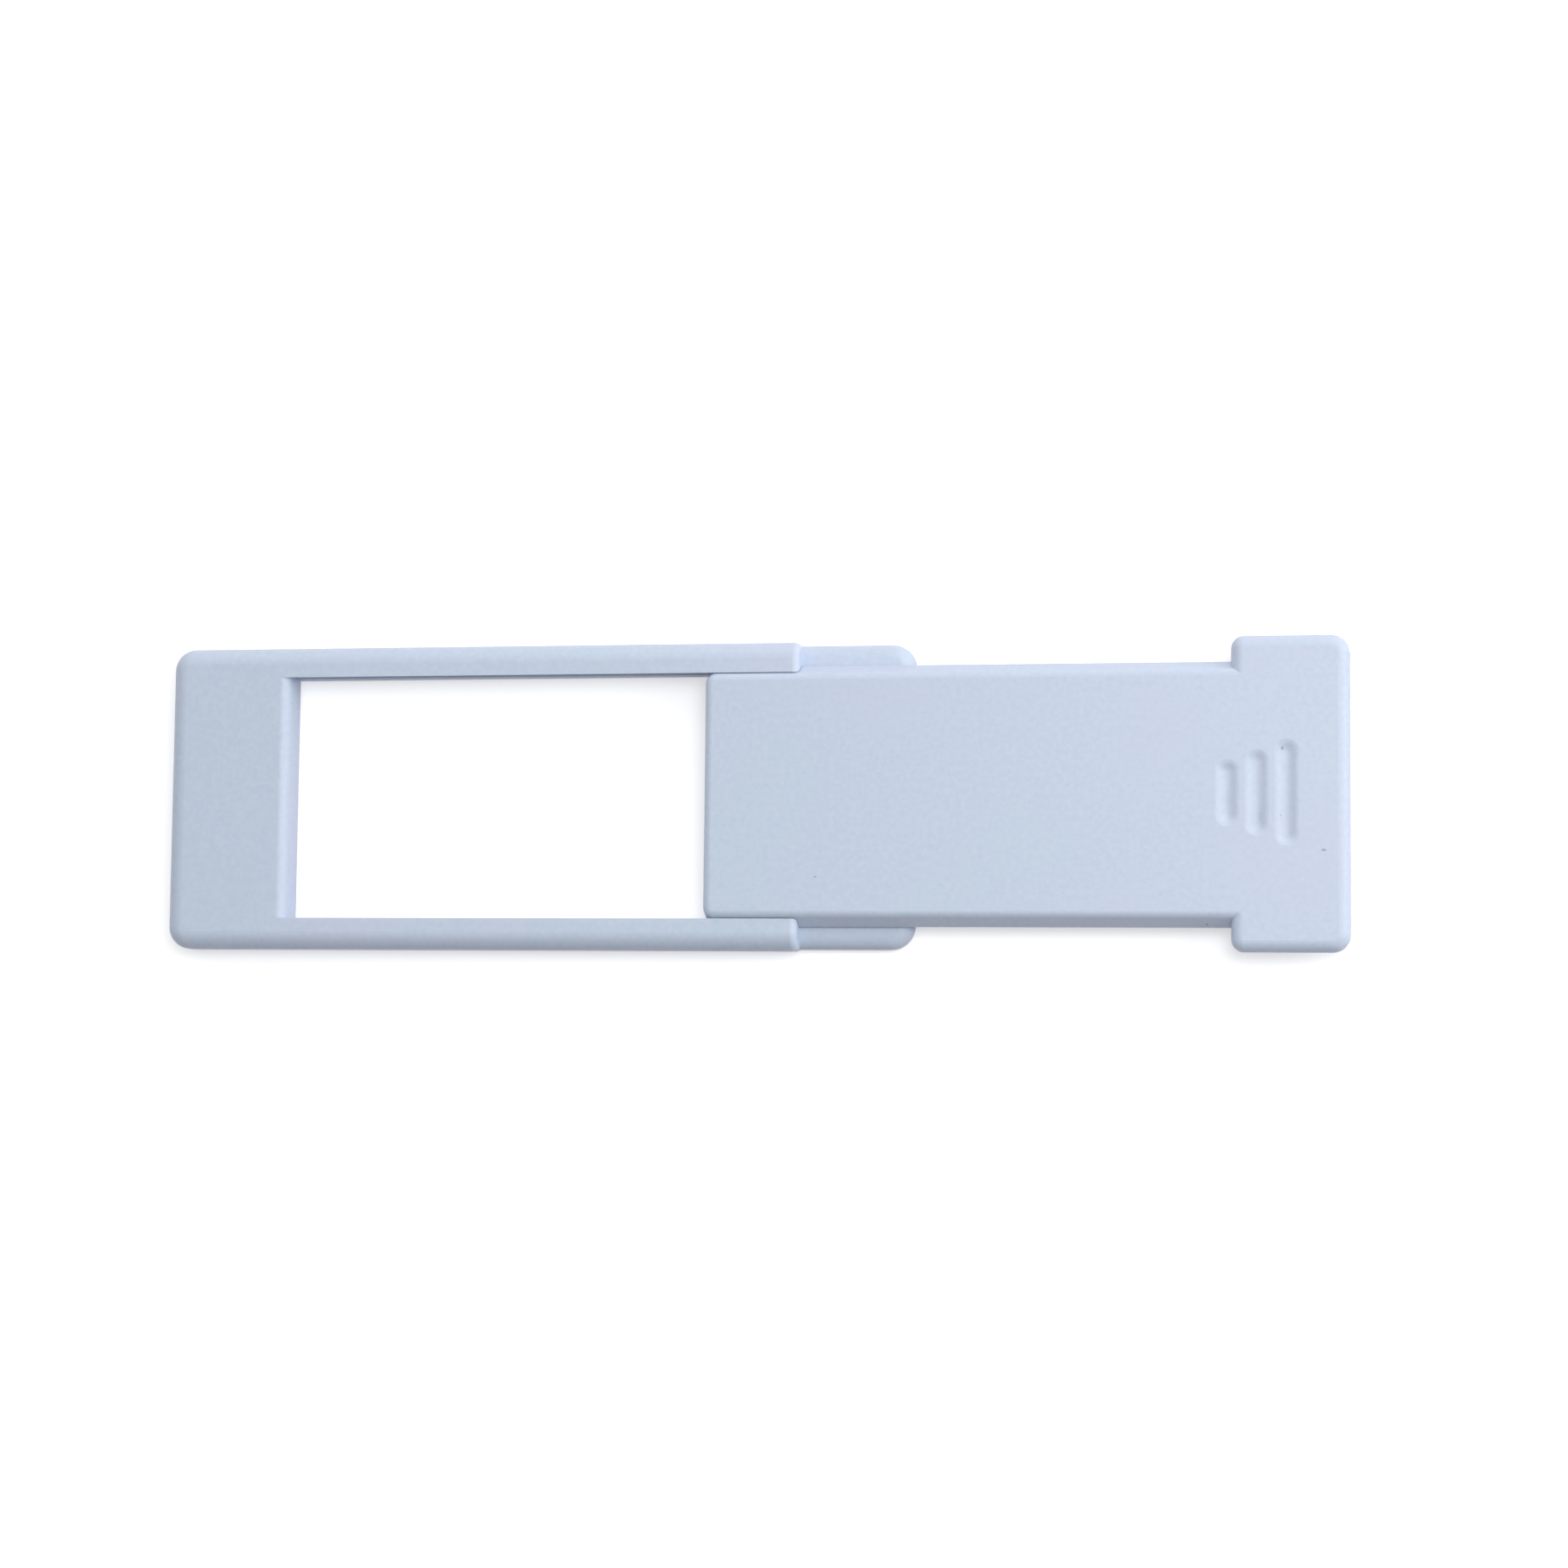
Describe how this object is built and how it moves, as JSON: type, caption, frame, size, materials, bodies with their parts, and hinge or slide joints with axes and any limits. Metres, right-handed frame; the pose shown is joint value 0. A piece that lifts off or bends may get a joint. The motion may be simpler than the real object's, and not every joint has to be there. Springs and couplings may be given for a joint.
{
  "type": "webcam cover slider",
  "caption": "Flat stick-on webcam cover: a low frame with an open lens window, and a T-shaped slider with a grooved head that runs under the frame's lips to cover the lens.",
  "frame": {"origin": "middle of the frame and of its lens window, on the back plane that the tape sticks to", "axes": "+X along the slide, the way the slider opens; +Y across the frame; +Z out of the front, away from the screen"},
  "size_m": [0.0544, 0.014, 0.002],
  "materials": {
    "white_abs": "satin",
    "acrylic_foam_tape": "matte"
  },
  "bodies": {
    "frame": {"frame": "white_abs", "adhesive_pad_left": "acrylic_foam_tape", "adhesive_pad_right": "acrylic_foam_tape"},
    "slider": {"slider": "white_abs"}
  },
  "joints": [
    {"name": "cover_slide", "type": "slide", "parent": "frame", "child": "slider", "axis": [-1, 0, 0], "range_m": [0, 0.0193]}
  ]
}
